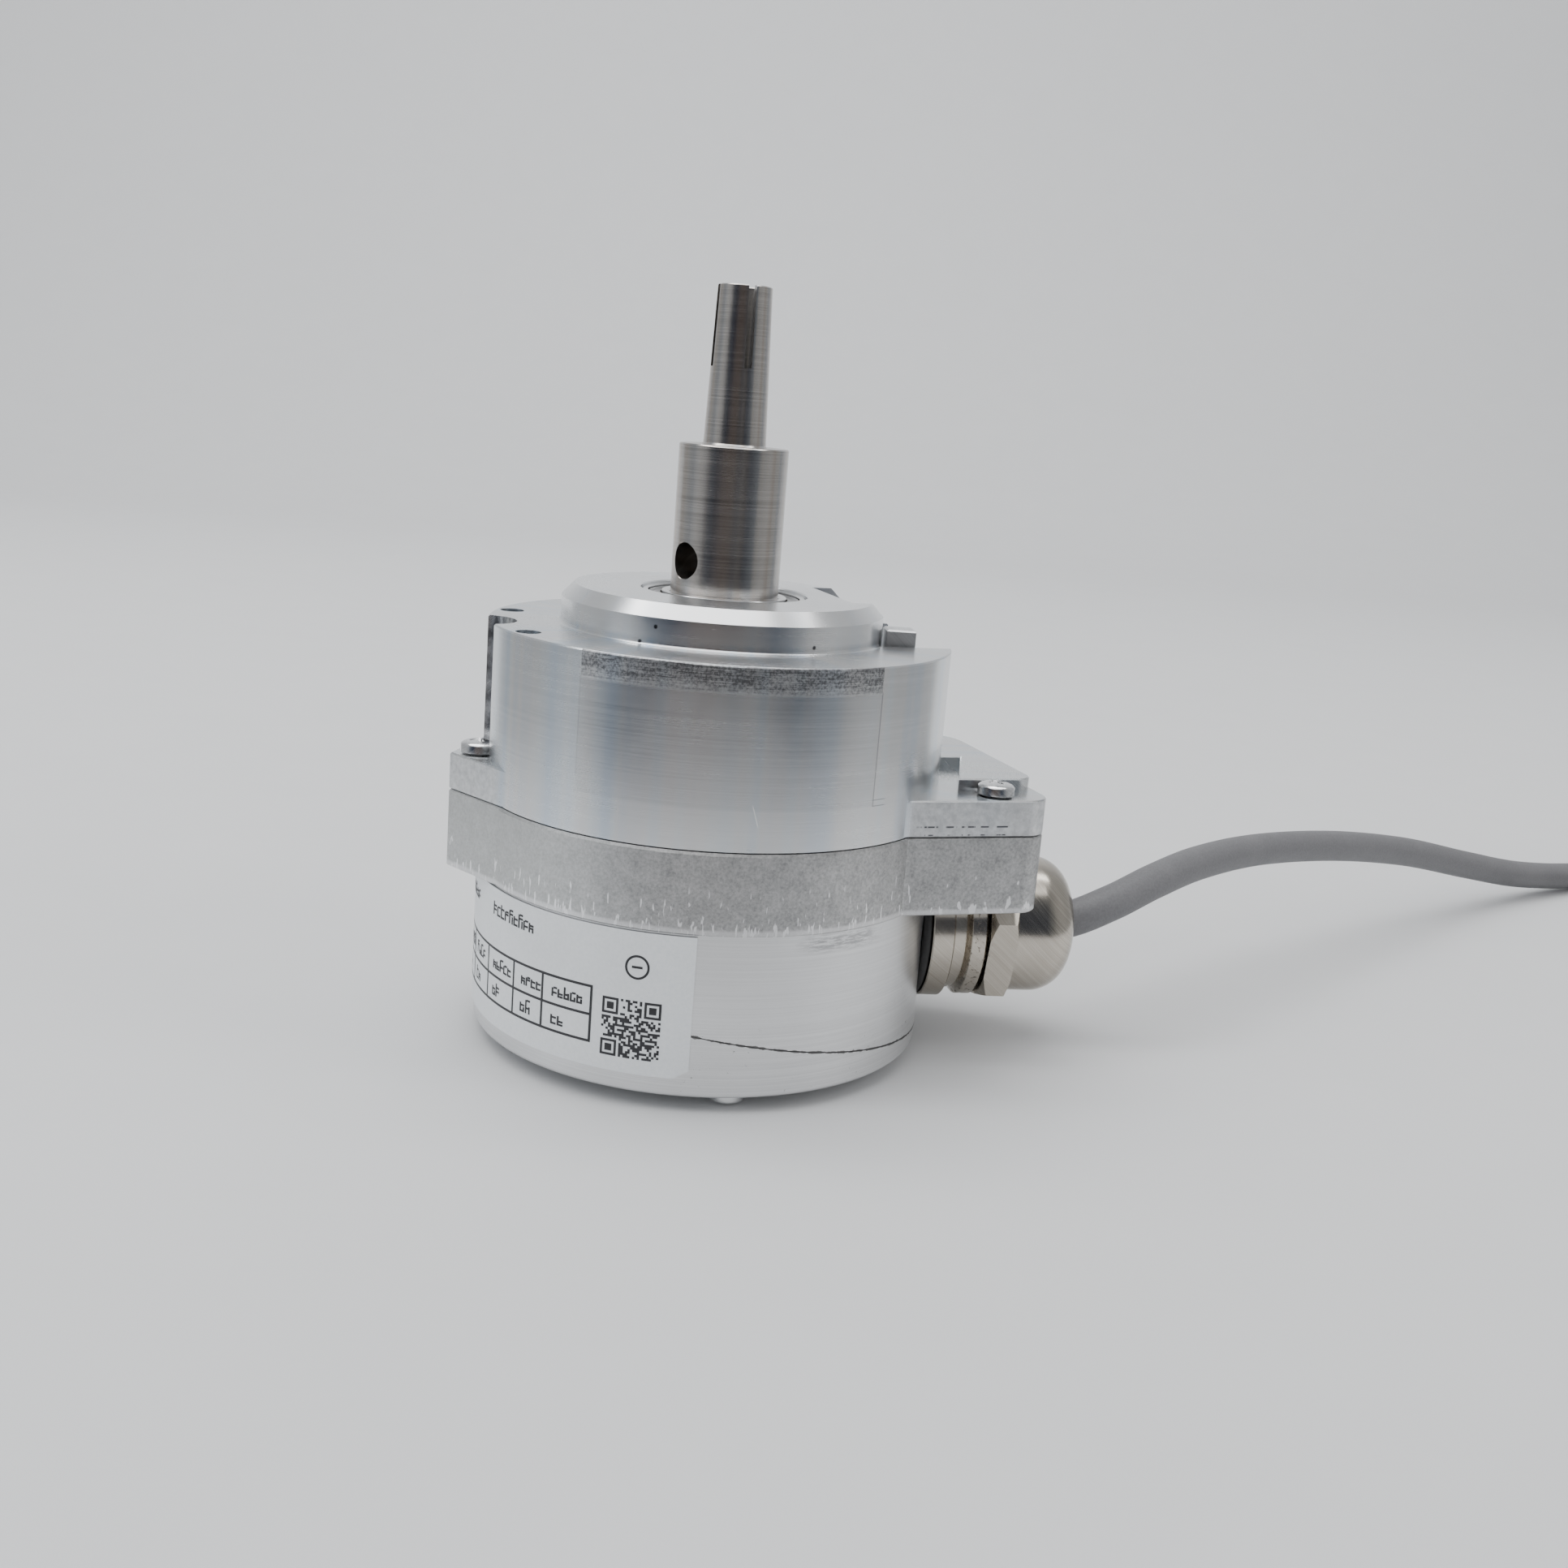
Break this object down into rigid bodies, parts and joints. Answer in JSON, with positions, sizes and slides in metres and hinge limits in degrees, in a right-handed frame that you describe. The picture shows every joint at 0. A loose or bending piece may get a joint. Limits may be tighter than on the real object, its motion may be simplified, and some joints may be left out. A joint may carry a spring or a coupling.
{
  "type": "rotary encoder",
  "caption": "Rotary encoder: slotted taper shaft on two ball bearings, turned clamp flange, lugged body with rear cover, and a side gland with a coiled cable.",
  "frame": {"origin": "centre of the rear cover's outer face, on the shaft's axis", "axes": "+Z along the shaft towards its free taper end; +X roughly towards the cable gland; -Y towards the side with the two lug screws"},
  "size_m": [0.3516, 0.1879, 0.1184],
  "materials": {
    "bare_brass": "turned brass",
    "bearing_steel": "ground and polished",
    "black_plastic": "moulded, fine grain",
    "black_rubber": "moulded, dull",
    "cast_aluminium": "as cast, bead blasted",
    "coated_glass": "coated and printed",
    "green_board": "solder-resist film",
    "grey_cable_jacket": "extruded, dull",
    "label_film": "printed film",
    "lead_insulation": "extruded, coloured",
    "nickel_plated_brass": "satin nickel plate",
    "satin_aluminium": "turned, satin",
    "spring_steel": "oiled, dark",
    "stainless_steel": "fine turned",
    "turned_aluminium": "turned and brushed",
    "zinc_plated_screw": "bright zinc plate"
  },
  "bodies": {
    "housing": {"board_connector": "label_film", "board_screw_1": "zinc_plated_screw", "board_screw_2": "zinc_plated_screw", "board_screw_3": "zinc_plated_screw", "board_standoff_1": "bare_brass", "board_standoff_2": "bare_brass", "board_standoff_3": "bare_brass", "cable": "grey_cable_jacket", "cable_coil": "grey_cable_jacket", "cable_leads": "lead_insulation", "cable_tie": "black_plastic", "cover_screw_1": "zinc_plated_screw", "cover_screw_2": "zinc_plated_screw", "cover_screw_3": "zinc_plated_screw", "ear_screw_left": "zinc_plated_screw", "ear_screw_right": "zinc_plated_screw", "front_bearing_outer_ring": "bearing_steel", "front_bearing_shield_bottom": "bearing_steel", "front_bearing_shield_top": "bearing_steel", "front_housing": "turned_aluminium", "gland_body": "nickel_plated_brass", "gland_cap": "nickel_plated_brass", "gland_oring": "black_rubber", "gland_seal": "black_rubber", "housing_seal": "black_rubber", "inner_leads": "lead_insulation", "label": "label_film", "lamp": "coated_glass", "lamp_bracket": "black_plastic", "rear_bearing_outer_ring": "bearing_steel", "rear_bearing_shield_bottom": "bearing_steel", "rear_bearing_shield_top": "bearing_steel", "rear_cover": "satin_aluminium", "rear_housing": "cast_aluminium", "sensor_board": "green_board", "sensor_module": "black_plastic", "torque_key": "turned_aluminium", "wave_spring": "spring_steel"},
    "rotor": {"shaft": "stainless_steel", "front_bearing_inner_ring": "bearing_steel", "rear_bearing_inner_ring": "bearing_steel", "bearing_spacer": "satin_aluminium", "retaining_ring": "spring_steel", "disc_hub": "bare_brass", "hub_set_screw": "spring_steel", "code_disc": "coated_glass"},
    "front_cage": {"front_bearing_ball_cage": "bare_brass"},
    "rear_cage": {"rear_bearing_ball_cage": "bare_brass"}
  },
  "joints": [
    {"name": "shaft_spin", "type": "hinge", "parent": "housing", "child": "rotor", "pos_m": [0, 0, 0.0671], "axis": [0, 0, 1], "continuous": true},
    {"name": "front_cage_spin", "type": "hinge", "parent": "housing", "child": "front_cage", "pos_m": [0, 0, 0.0671], "axis": [0, 0, 1], "continuous": true},
    {"name": "rear_cage_spin", "type": "hinge", "parent": "housing", "child": "rear_cage", "pos_m": [0, 0, 0.046], "axis": [0, 0, 1], "continuous": true}
  ],
  "couplings": [
    {"joint": "front_cage_spin", "follows": "shaft_spin", "ratio": 0.4512},
    {"joint": "rear_cage_spin", "follows": "shaft_spin", "ratio": 0.4512}
  ]
}
